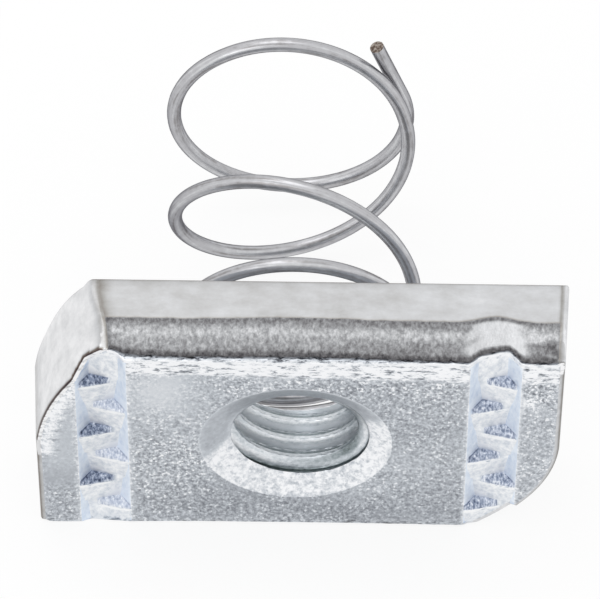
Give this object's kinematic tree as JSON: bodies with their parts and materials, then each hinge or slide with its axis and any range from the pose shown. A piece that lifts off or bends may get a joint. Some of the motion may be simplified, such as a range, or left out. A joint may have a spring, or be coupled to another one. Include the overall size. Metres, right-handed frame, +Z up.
{
  "type": "strut spring nut",
  "caption": "Steel channel nut with serrated grooves, a countersunk threaded hole and a long coil spring fixed to its back face.",
  "frame": {"origin": "on the thread axis, in the middle of the nut plate's thickness", "axes": "+X along the nut, +Y along the thread from the serrated front face to the spring, +Z up across the nut, which rests on one long edge"},
  "size_m": [0.0362, 0.0285, 0.02],
  "materials": {
    "zinc_plated_steel": "electroplated zinc, finely mottled, with smoother sheared and pressed faces",
    "spring_wire": "galvanised spring wire, satin"
  },
  "bodies": {
    "root": {"nut_body": "zinc_plated_steel", "coil_spring": "spring_wire"}
  },
  "joints": []
}
